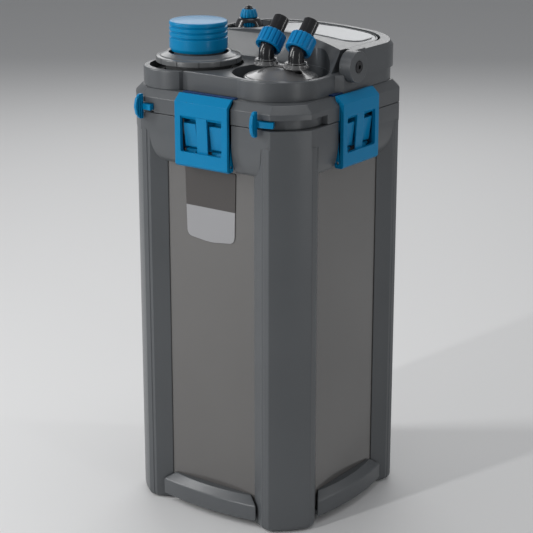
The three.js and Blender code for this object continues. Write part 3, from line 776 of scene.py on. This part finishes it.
def head_cover():
    """Low walls, two lobes and the raised rear section, with wells for what stands in them."""
    joint = 524
    low = slab(lobe_outline(), SHOULDER + GAP, joint)
    lobes = slab(lobe_outline(), 520, LOBE_TOP, 0, 1.6)
    cut(lobes, block(-130, 130, 0, 130, joint, 540))
    slanted = shifted(rotated(slope(0, (30, 570), 200), -SLANT), 0, 14)
    tower = keep(tower_walls(), crown_slab(-100, 0))
    cut(
        tower,
        scoop(CAP.x, CAP.y, 56, 60),
        scoop(WELL.x, WELL.y, WELL_RADIUS, WELL_RADIUS + 5),
        block(-130, -50, -70, 10, LOBE_TOP, SKY),
        keep(slope(14, (28, 556), 130), slanted),
    )
    join(low, lobes, tower)
    cavity = slab(rounded_box(-98, 98, 34, 98, 28), 500, 547)
    cut(cavity, drum(HEATER.x, HEATER.y, 16, 490, 560))
    hub_pocket = HUB_INSIDE - 0.4
    cut(
        low,
        cavity,
        drum(CAP.x, CAP.y, 52.5, 522, 560),
        drum(-71, -68, 40, 522, 560),
        drum(CAP.x, CAP.y, CAP_BORE, 500, 560),
        drum(WELL.x, WELL.y, WELL_RADIUS - 2, 515, 545, WELL_RADIUS),
        *ports(PORT_BORE, 490, 520),
        drum(HEATER.x, HEATER.y, HEATER_BORE, 490, 570),
        barrel(hub_pocket, FAR, HUB.y, HUB.z, HUB_RADIUS + CLEAR),
        barrel(-FAR, -hub_pocket, HUB.y, HUB.z, HUB_RADIUS + CLEAR),
        keep(slab(plate_outline(CLEAR), 545, SKY), crown_slab(-2.5, 40)),
        slab(panel_outline(CLEAR), 549, SKY),
        block(-45, 45, 99, 130, 505, 530),
    )
    return soften(low, 1.0, 3)


def top_plate():
    plate = keep(slab(plate_outline(0), 540, SKY), crown_slab(-2.2, -0.6))
    raised = keep(slab(rounded_box(18, 92, 40, 94, 20), 540, SKY), crown_slab(-1.5, 0.6))
    return soften(join(plate, raised), 0.6, 3)


def heater_panel():
    low, high = box("heater_panel")
    panel = slab(panel_outline(0), low.z, high.z, 0, 0.6)
    return cut(panel, drum(HEATER.x, HEATER.y, 12, 540, 560))


dress(head_base(), GREY, "head", "head_base")
dress(head_cover(), GREY, "head", "head_cover")
dress(top_plate(), SILVER, "head", "top_plate")
dress(heater_panel(), BLACK, "head", "heater_panel")


# ---- carry handle
ARM_LOW = 524.6  # underside of the handle's arms
HANDLE = 118.0  # half width over the handle's arms
HANDLE_ROUND = 46.0
HANDLE_INSIDE = 103.0
HUB_SEAT = 119.0  # floor of the round seat in each hub for its cap
HUB_CAP_RADIUS = 7.0
PIN_RADIUS = 4.0  # of the pivot pin behind each cap


def handle_outline(half, radius, front=0.0):
    corner = half - radius
    curve = arc(corner, corner, radius, 0, 90, 16) + arc(-corner, corner, radius, 90, 180, 16)
    return [Vector((half, front)), *curve, Vector((-half, front))]


def carry_handle():
    """A bail round the rear section, with a hub at each end."""
    rings = []
    for draw, z in ((0, ARM_LOW), (0, 549), (18.2, 575)):
        rings.append([(p.x, p.y, z) for p in handle_outline(HANDLE - draw, HANDLE_ROUND - draw)])
    bail = keep(loft(rings), crown_slab(-100, 1))
    inside = handle_outline(HANDLE_INSIDE, HANDLE_ROUND - HANDLE + HANDLE_INSIDE + 1, -5)
    cut(bail, slab(inside, 500, SKY))
    root = [(0, ARM_LOW), (24, ARM_LOW), (24, 556), (0, 555.8)]
    hub = circle(0, HUB.z, HUB_RADIUS)
    for side in (-1, 1):
        join(bail, bar(root, *span(side, 106, HANDLE)))
        join(bail, bar(hub, *span(side, HUB_INSIDE, HANDLE_SIDE), 1.0))
        cut(bail, barrel(*span(side, HUB_SEAT, 130), 0, HUB.z, HUB_CAP_RADIUS + 0.4))
    pin_hole = barrel(-130, 130, 0, HUB.z, PIN_RADIUS + 0.3, 24)
    cut(bail, pin_hole, barrel(-HUB_INSIDE, HUB_INSIDE, 0, HUB.z, HUB_RADIUS + CLEAR))
    return soften(bail, 0.8, 3)


def hub_cap():
    cap = bar(circle(0, HUB.z, HUB_CAP_RADIUS), HUB_SEAT + 0.3, 126.4, 0.7)
    cut(cap, barrel(123, 130, 0, HUB.z, 2.6, 6))
    return join(cap, barrel(HUB_INSIDE - 0.1, HUB_SEAT + 0.6, 0, HUB.z, PIN_RADIUS, 32))


dress(carry_handle(), GREY, "handle", "carry_handle")
for turn, side in ((0, "right"), (180, "left")):
    dress(rotated(hub_cap(), turn), BLACK, "head", f"hub_cap_{side}")


# ---- lift levers
ARM_INNER, ARM_OUTER = 49.0, 57.5  # radii of a lever's arm
ARM_BOTTOM, ARM_TOP = 486.0, 492.5
TAB_HALF = 2.2  # half the thickness of a lever's tab
GROOVE_HALF = 0.65
GROOVE_DEPTH = 1.3


def lift_lever(x, tab_angle, arm_end):
    """A thumb tab with upright grooves, on an arm that runs round the corner inside its slot."""
    lever = sector(x, -LEVER, ARM_INNER, ARM_OUTER, tab_angle, arm_end, ARM_BOTTOM, ARM_TOP)
    profile = [(55.9, 475), (61, 475), (65.3, 480.5), (67, 489.5), (65.3, 498.5), (61, 504), (55.9, 504)]
    profile = fillet(profile, [1.5, 4, 8, 12, 8, 4, 1.5], 5)
    tab = bar(profile, -TAB_HALF, TAB_HALF, 0.9)
    for groove in (57.9, 60.7, 63.5):
        for face in (-3, TAB_HALF - GROOVE_DEPTH):
            cut(tab, block(face, face + 2.1, groove - GROOVE_HALF, groove + GROOVE_HALF, 470, 510))
    root = [(50, ARM_BOTTOM), (ARM_OUTER, ARM_BOTTOM), (ARM_OUTER, ARM_TOP), (50, ARM_TOP)]
    join(tab, bar(root, -TAB_HALF, TAB_HALF))
    shifted(rotated(tab, tab_angle - 90), x, -LEVER)
    return soften(join(lever, tab), 0.35)


dress(lift_lever(LEVER, -87, -66), BLUE, "lever_right", "lift_lever_right")
dress(lift_lever(-LEVER, -105, -90.6), BLUE, "lever_left", "lift_lever_left")


# ---- pre-filter
def priming_cap():
    """A cup with three rounded grooves round its upper half and a faintly domed top."""
    low, high = box("priming_cap")
    radius, inner = 33.7, 29.5
    groove_depth = 1.6
    roof = high.z - 6.2
    side = [(inner, low.z), (31, low.z), (31.6, low.z + 0.3), (33.4, low.z + 3.4), (radius, low.z + 4.2)]
    for groove in (high.z - 19.2, high.z - 12.8, high.z - 6.6):
        side.append((radius, groove - 2.4))
        for step in range(-8, 9):
            dip = 0.5 + 0.5 * cos(pi * step / 8)
            side.append((radius - groove_depth * dip, groove + step * 0.2))
        side.append((radius, groove + 2.2))
    rim = high.z - 2.2
    side += [(radius, rim - 0.4), (radius - 0.3, rim + 0.3), (radius - 1, rim + 0.8)]
    crown = [(radius - 2, rim + 1.1), (27, rim + 1.45), (20, rim + 1.8), (10, rim + 2.1), (0, high.z)]
    return turned(side + crown + [(0, roof), (inner, roof)], 96, CAP)


def bayonet_collar():
    """The clamping ring, with a stepped top and narrow upright gaps round its edge."""
    low, high = box("bayonet_collar")
    inner, outer = 34.6, 50
    edge, top = high.z - 5.1, high.z
    profile = [(inner, low.z), (38.4, low.z), (38.4, low.z + 6.5), (49.4, low.z + 6.5)]
    profile += [(outer, low.z + 7.1), (outer, edge - 0.7), (49.6, edge), (48.7, edge + 0.7)]
    profile += [(45.5, edge + 1.1), (44.6, edge + 1.9), (43.6, edge + 2.3), (38.8, top - 0.9)]
    profile += [(37.6, top - 0.1), (36.8, top), (35.3, top), (inner, top - 0.6)]
    ring = turned(profile, 96, CAP)
    grips = 12
    for grip in range(grips):
        gap = block(outer - 1.1, outer + 2, -0.5, 0.5, low.z + 5, edge + 0.2)
        cut(ring, shifted(rotated(gap, 360 / grips * grip + 8), CAP.x, CAP.y))
    return ring


STEM = 15.0  # radius of the pre-filter's stem


def prefilter_core():
    low, high = box("prefilter_core")
    foot_top, head_low, head_top, plate, neck = 153, 505, 526.5, 38, 28.8
    profile = [(0, low.z), (plate, low.z), (plate, foot_top), (STEM, foot_top), (STEM, head_low)]
    profile += [(plate, head_low), (plate, head_top), (neck, head_top), (neck, high.z), (0, high.z)]
    return soften(turned(profile, 72, CAP), 0.5)


def prefilter_housing():
    low, high = box("prefilter_housing")
    outer, inner, floor = 41.5, 38.8, low.z + 3
    profile = [(0, low.z), (outer - 1, low.z), (outer, low.z + 1), (outer, high.z), (inner, high.z)]
    return turned(profile + [(inner, floor), (0, floor)], 96, CAP)


def foam_ring():
    low, high = box("prefilter_foam")
    inner, outer = STEM + 0.4, high.x - CAP.x
    profile = [(inner, low.z), (outer - 1, low.z), (outer, low.z + 1), (outer, high.z - 1)]
    profile += [(outer - 1, high.z), (inner, high.z)]
    return turned(profile, 72, CAP)


dress(priming_cap(), BLUE, "cap", "priming_cap")
dress(bayonet_collar(), COLLAR_GREY, "collar", "bayonet_collar")
dress(prefilter_core(), GREY, "prefilter", "prefilter_core")
dress(prefilter_housing(), SMOKY, "head", "prefilter_housing")
dress(foam_ring(), ORANGE_FOAM, "prefilter", "prefilter_foam")


# ---- hose adapter
TILT = radians(43)
BEND = 554.5  # height at which the elbows turn
TUBE = 9.1  # outer radius of the elbows
TUBE_BORE = 6.8
SKIRT = 515.4  # underside of the adapter's dome
STUB_RADIUS = 9.2


def hose_adapter():
    """A dome on a round skirt, with two ports through it and a stub under each."""
    low, high = box("hose_adapter")
    profile = [(0, SKIRT), (38, SKIRT), (42.7, SKIRT + 2.6), (42.7, 525.6), (42.4, 526.6), (41.4, 527.3)]
    profile += [(39.9, 527.6), (39.6, 528.3), (38.4, 528.9), (34, 530), (29, 531.9), (24, 533.9)]
    profile += [(20, 535.9), (16, 537.1), (10, 537.8), (0, high.z)]
    dome = join(turned(profile, 96, DOME), *ports(STUB_RADIUS, low.z, SKIRT + 0.6))
    return cut(dome, *ports(7, 480, 545))


def clip_collars():
    """Two collars with ears, joined by a bar, that hold the elbows down."""
    low, high = box("clip_collars")
    link = rounded_box(DOME.x - PORT, DOME.x + PORT, DOME.y - 4, DOME.y + 4, 1)
    part = slab(link, low.z, low.z + 2)
    ear_low, ear_high = low.z + 1.6, low.z + 4.6
    for side in (-1, 1):
        x = DOME.x + side * PORT
        ears = rounded_box(x - 15.5, x + 15.5, DOME.y - 3, DOME.y + 3, 2)
        join(part, drum(x, DOME.y, 14.2, low.z, ear_low), drum(x, DOME.y, 12.2, low.z, high.z))
        join(part, slab(ears, ear_low, ear_high, 0.5, 0.5))
        cut(part, drum(x, DOME.y, 12.9, ear_high, low.z + 6))
    return soften(cut(part, *ports(TUBE + 0.6, 530, 550)), 0.5)


def tilted(piece, x):
    """Stands a piece, made round the upright axis, on the elbow's slanting axis at one port."""
    piece.data.transform(Matrix.Rotation(-TILT, 4, "X"))
    return shifted(piece, x, DOME.y, BEND)


def elbow(x):
    """A bent tube: straight up, round an even bend, and a short way along the slant."""
    radius, bend_steps = 12.0, 12
    start = BEND - radius * tan(TILT / 2)
    stations = [((0, 0, 539), 0.0), ((0, 0, 541), 0.0), ((0, 0, start), 0.0)]
    for step in range(1, bend_steps + 1):
        angle = TILT * step / bend_steps
        y = radius * (1 - cos(angle))
        stations.append(((0, y, start + radius * sin(angle)), angle))
    along = Vector((0, sin(TILT), cos(TILT)))
    stations.append((Vector((0, 0, BEND)) + along * 13, TILT))

    def tube(size, past_ends):
        rings = []
        for i, (centre, angle) in enumerate(stations):
            past = {0: -past_ends, len(stations) - 1: past_ends}.get(i, 0)
            heading = Vector((0, sin(angle), cos(angle)))
            up = Vector((0, cos(angle), -sin(angle)))
            here = Vector(centre) + heading * past
            rings.append([here + Vector((p.x, 0, 0)) + up * p.y for p in circle(0, 0, size, 48)])
        return loft(rings)

    body = cut(tube(TUBE, 0), tube(TUBE_BORE, 3))
    collar = cut(drum(0, 0, TUBE + 0.35, 541.5, 545.5), drum(0, 0, 8, 530, 560))
    join(body, collar)
    return soften(shifted(body, x, DOME.y), 0.4)


def ribbed(inner, outer, depth, ribs, rows):
    """A ring with rounded grip ribs; rows are pairs of height and share of the outer radius."""
    dips = [depth, depth, depth * 0.35] + [0] * 6 + [depth * 0.35]  # at the points round one rib
    steps = ribs * len(dips)
    rings = []
    for z, share in rows:
        ring = []
        for i in range(steps):
            angle = 2 * pi * i / steps
            radius = (outer - dips[i % len(dips)]) * share
            ring.append((radius * cos(angle), radius * sin(angle), z))
        rings.append(ring)
    return cut(loft(rings), drum(0, 0, inner, rows[0][0] - 5, rows[-1][0] + 5))


def hose_nut(x):
    """A ribbed nut with a smooth lip below; heights run from the bend along the slant."""
    rows = [(3.7, 0.955), (4.3, 0.99), (5.0, 1.0), (21.2, 1.0), (22.0, 0.985), (22.6, 0.95)]
    nut = ribbed(9.9, 15.2, 1.1, 16, rows)
    lip_top, lip_inner = 5.2, 11.6
    lip = cut(drum(0, 0, 14.9, rows[0][0], lip_top), drum(0, 0, lip_inner, 0, 10))
    cut(nut, drum(0, 0, lip_inner, 0, lip_top))
    return tilted(join(nut, lip), x)


def hose_nozzle(x):
    profile = [(TUBE_BORE, 14.3), (9, 14.3), (9, 43.2), (8.6, 43.9), (8, 44), (7.2, 44), (TUBE_BORE, 43.6)]
    return tilted(turned(profile, 64), x)


dress(hose_adapter(), PEWTER, "adapter", "hose_adapter")
dress(clip_collars(), PEWTER, "adapter", "clip_collars")
for offset, side in ((-PORT, "left"), (PORT, "right")):
    dress(elbow(DOME.x + offset), BLACK, f"outlet_{side}", f"elbow_{side}")
    dress(hose_nozzle(DOME.x + offset), BLACK, f"outlet_{side}", f"hose_nozzle_{side}")
    dress(hose_nut(DOME.x + offset), NUT_BLUE, f"nut_{side}", f"hose_nut_{side}")


# ---- heater
def heater_base():
    """A bell with an oval window towards the front, behind which the temperature scale shows."""
    low, high = box("heater_base")
    bell_top, spindle = 565.5, 3.6
    profile = [(0, low.z), (17.5, low.z), (17.5, 555), (17.1, 556.4), (16.2, 558.6), (14.9, 561.4)]
    profile += [(13.6, 563.6), (12.4, 565), (11.5, bell_top), (spindle, bell_top)]
    profile += [(spindle, high.z), (0, high.z)]
    bell = turned(profile, 96)
    width, squash = 7.6, 0.38
    window = turned([(0, 10), (width, 10), (width, 24), (0, 24)], 40)
    window.data.transform(Matrix.Scale(squash, 4, (1, 0, 0)))
    rotated(shifted(rotated(window, 90, "Y"), 0, 0, 558.6), -54)
    cut(bell, window, cut(drum(0, 0, 14.2, 555.4, 561.8), drum(0, 0, 11, 550, 570)))
    return shifted(bell, HEATER.x, HEATER.y)


def heater_scale():
    rows = [(555.6, 0.98), (556, 1.0), (561.2, 1.0), (561.6, 0.98)]
    return shifted(ribbed(11.1, 14, 1.2, 26, rows), HEATER.x, HEATER.y)


def heater_dial():
    low, high = box("heater_dial")
    rows = [(low.z, 0.94), (low.z + 0.4, 0.98), (low.z + 1.2, 1.0), (low.z + 3.6, 0.98)]
    rows += [(low.z + 6, 0.91), (high.z + 0.8, 0.80), (high.z + 1.6, 0.76), (high.z + 2, 0.71)]
    dial = ribbed(4, 10.6, 0.8, 14, rows)
    return shifted(cut(dial, drum(0, 0, 6.2, high.z - 0.4, high.z + 5)), HEATER.x, HEATER.y)


def heater_top():
    low, high = box("heater_top")
    profile = [(0, low.z), (5.4, low.z), (5.6, low.z + 0.3), (4.9, low.z + 1.6), (3.5, high.z - 1.2)]
    profile += [(1.8, high.z - 0.3), (0, high.z)]
    return turned(profile, 48, HEATER)


def heater_tube():
    low, high = box("heater_tube")
    profile = [(0, low.z), (4, low.z + 0.3), (7.5, low.z + 1.6), (9.4, low.z + 4), (10, low.z + 7)]
    profile += [(10, high.z), (0, high.z)]
    return turned(profile, 64, HEATER)


dress(heater_base(), BLACK, "heater", "heater_base")
dress(heater_scale(), BLUE, "heater", name="heater_scale")
dress(heater_dial(), BLUE, "dial", "heater_dial")
dress(heater_top(), BLACK, "heater", "heater_top")
dress(heater_tube(), CERAMIC, "heater", "heater_tube")


# ---- pump
PUMP = middle("motor_pot")
PUMP_RADIUS = 40.0
ROTOR_RADIUS = 12.5
ROTOR_BORE = 1.9
SHAFT_RADIUS = 1.5
SHAFT_LOW, SHAFT_HIGH = 449.0, 528.0


def motor_pot():
    low, high = box("motor_pot")
    bore, step, neck = ROTOR_RADIUS + 1, 475, 30
    profile = [(0, 530), (bore, 530), (bore, low.z), (PUMP_RADIUS, low.z), (PUMP_RADIUS, step)]
    profile += [(neck, step), (neck, high.z - 2), (neck - 2, high.z), (0, high.z)]
    return turned(profile, 72, PUMP)


def impeller():
    low, disc_top, top, disc = 454, 456, 526, 26
    profile = [(ROTOR_BORE, low), (disc - 0.5, low), (disc, low + 0.5), (disc, disc_top)]
    profile += [(ROTOR_RADIUS, disc_top), (ROTOR_RADIUS, top - 0.5), (ROTOR_RADIUS - 0.5, top)]
    rotor = turned(profile + [(ROTOR_BORE, top)], 64)
    for vane in range(2):
        blade = block(-24, 24, -1, 1, 455, 465)
        cut(blade, drum(0, 0, 5, 450, 470))
        join(rotor, rotated(blade, 90 * vane))
    return shifted(soften(rotor, 0.3), PUMP.x, PUMP.y)


def impeller_shaft():
    return drum(PUMP.x, PUMP.y, SHAFT_RADIUS, SHAFT_LOW, SHAFT_HIGH, sides=24)


def pump_cover():
    low, high = box("pump_cover")
    inlet, inner, outer, floor = 14, PUMP_RADIUS - 3, PUMP_RADIUS, 448.7
    profile = [(inlet, low.z), (outer - 1.5, low.z), (outer, low.z + 1.5), (outer, high.z)]
    profile += [(inner, high.z), (inner, floor), (inlet, floor)]
    return turned(profile, 72, PUMP)


def cable_gland():
    """A rubber sleeve with grooves, open at its end; the profile runs out from the head."""
    profile = [(0, 0), (7, 0), (7, 5.2), (6.4, 6), (6, 8.5), (6.3, 9.3), (5.8, 10), (5.4, 12.5)]
    profile += [(5.7, 13.3), (5.2, 14), (4.9, 17), (5.1, 17.8), (4.7, 18.5), (4.6, 22.2), (4.1, 22.7)]
    gland = turned(profile + [(2.6, 22.7), (2.6, 5), (0, 5)], 48)
    return shifted(rotated(gland, -90, "X"), 60, REAR + GAP, 516.5)


dress(motor_pot(), BLACK, "head", "motor_pot")
dress(impeller(), MAGNET, "impeller", "impeller")
dress(impeller_shaft(), CERAMIC, "head", "impeller_shaft")
dress(pump_cover(), BLACK, "head", "pump_cover")
dress(cable_gland(), RUBBER, "head", "cable_gland")


# ---- small pieces of the canister
def foot(name):
    top, spot = box(name)[1].z, middle(name)
    profile = [(0, 0), (6.4, 0), (7.4, 0.6), (7.9, top - 0.6), (7.6, top), (0, top)]
    return turned(profile, 48, spot)


def head_seal():
    low, high = box("head_seal")
    width, radius = 2.8, PANEL_ROUND - 0.6
    ring = slab(rounded_square(high.x, radius), low.z, high.z, 0.3, 0.3)
    return cut(ring, slab(rounded_square(high.x - width, radius - width), low.z - 2, high.z + 2))


for corner in ("back_right", "back_left", "front_left", "front_right"):
    dress(foot(f"foot_{corner}"), RUBBER, "canister", f"foot_{corner}")
for quarter, side in enumerate(SIDES):
    pin = bar(circle(PIVOT.y, PIVOT.z, 1.6, 24), -36, 36, 0.4)
    dress(rotated(pin, 90 * quarter), STEEL, "canister", f"latch_pin_{side}")
dress(head_seal(), RUBBER, "head", "head_seal")


# ---- baskets and media
WELLS = ((CAP.x, CAP.y, 44.5), (HEATER.x, HEATER.y, 14))  # ways down for the pre-filter and the heater
BASKET = box("basket_1")[1].x
BASKET_ROUND = 38.0
BASKET_WALL = 2.0
BASKET_FLOOR = 3.0
SLOT_WIDTH = 4


def wells(grow, z0, z1):
    return [drum(x, y, radius + grow, z0, z1) for x, y, radius in WELLS]


def basket_outline(draw):
    return rounded_square(BASKET - draw, BASKET_ROUND - draw)


def basket(number):
    low, high = box(f"basket_{number}")
    under, over = low.z - 20, high.z + 20
    tray = slab(basket_outline(0), low.z, high.z, 2, 0.6)
    cut(tray, *wells(0, under, over))
    room = slab(basket_outline(BASKET_WALL), low.z + BASKET_FLOOR, over)
    cut(room, *wells(BASKET_WALL, under, over + 20))
    cut(tray, room)
    floor = slab(basket_outline(8), low.z - 5, low.z + 5)
    cut(floor, *wells(6, under, over))
    for y in range(-92, 93, 12):
        slot = block(-100, 100, y, y + SLOT_WIDTH, low.z - 6, low.z + 6)
        cut(tray, keep(slot, duplicate(floor)))
    bpy.data.objects.remove(floor)
    for quarter in range(4):
        for x in range(-54, 55, 18):
            start, end = x - SLOT_WIDTH / 2, x + SLOT_WIDTH / 2
            cut(tray, rotated(block(start, end, -110, -100, low.z + 12, high.z - 16), 90 * quarter))
    return tray


def duplicate(piece):
    twin = piece.copy()
    twin.data = piece.data.copy()
    bpy.context.scene.collection.objects.link(twin)
    return twin


def medium(name):
    low, high = box(name)
    filling = slab(basket_outline(3), low.z, high.z, 1, 2)
    return cut(filling, *wells(3, low.z - 20, high.z + 20))


MEDIA = (
    ("ceramic_media", RINGS, "ceramic"),
    ("coarse_foam", BLUE_FOAM, "blue_foam"),
    ("medium_foam", BLUE_FOAM, "blue_foam"),
    ("fine_foam", ORANGE_FOAM, "orange_foam"),
)
for number, (name, material, slot) in enumerate(MEDIA, 1):
    dress(basket(number), BLACK, f"basket_{number}", f"basket_{number}")
    dress(medium(name), material, f"basket_{number}", name)


# ---- studio
def place(name, data, spot, target):
    """Puts a lamp or a camera in the scene, turned to its target; metres."""
    holder = bpy.data.objects.new(name, data)
    holder.location = spot
    holder.rotation_euler = (target - holder.location).to_track_quat("-Z", "Y").to_euler()
    bpy.context.scene.collection.objects.link(holder)
    return holder


def studio():
    low, high = Vector(cad_box[0]), Vector(cad_box[1])
    reach = 6000
    corners = [(-reach, -reach, 0), (reach, -reach, 0), (reach, reach, 0), (-reach, reach, 0)]
    floor = make(corners, [(0, 1, 2, 3)])
    floor.name = "floor"
    floor.location.z = low.z - 0.0005
    pale, tree, shader, _ = blank("floor")
    wire(tree, shader, Base_Color=(0.75, 0.75, 0.75, 1), Roughness=0.6)
    floor.data.materials.append(pale)

    world = bpy.data.worlds.new("studio")
    world.use_nodes = True
    sky = world.node_tree.nodes["Background"]
    wire(world.node_tree, sky, Color=(0.95, 0.97, 1.0, 1), Strength=0.24)
    bpy.context.scene.world = world

    for name, spot, watts, size in (
        ("key", (-1.6, -1.1, 1.3), 23, (0.3, 1.5)),
        ("key strip", (-0.45, -1.95, 1.0), 15, (0.08, 1.3)),
        ("fill", (1.6, -0.5, 0.5), 2.4, (0.12, 0.9)),
        ("rim", (1.7, 1.15, 1.2), 5, (0.16, 1.4)),
        ("top", (0.1, 0.2, 2.1), 6, (1.2, 1.0)),
        ("back", (-1.15, 1.7, 1.45), 14, (2.0, 1.0)),
    ):
        light = bpy.data.lights.new(name, "AREA")
        light.energy = watts
        light.shape = "RECTANGLE"
        light.size, light.size_y = size
        place(name, light, Vector(spot), (low + high) / 2)
    bpy.context.scene.view_settings.view_transform = "Standard"


def camera():
    lens = bpy.data.cameras.new("camera")
    lens.sensor_width = 36
    lens.lens = 113.7
    eye, aim = Vector((1.1295, -1.5790, 0.8969)), Vector((-0.00165, -0.00118, 0.27994))
    bpy.context.scene.camera = place("camera", lens, eye, aim)


studio()
camera()
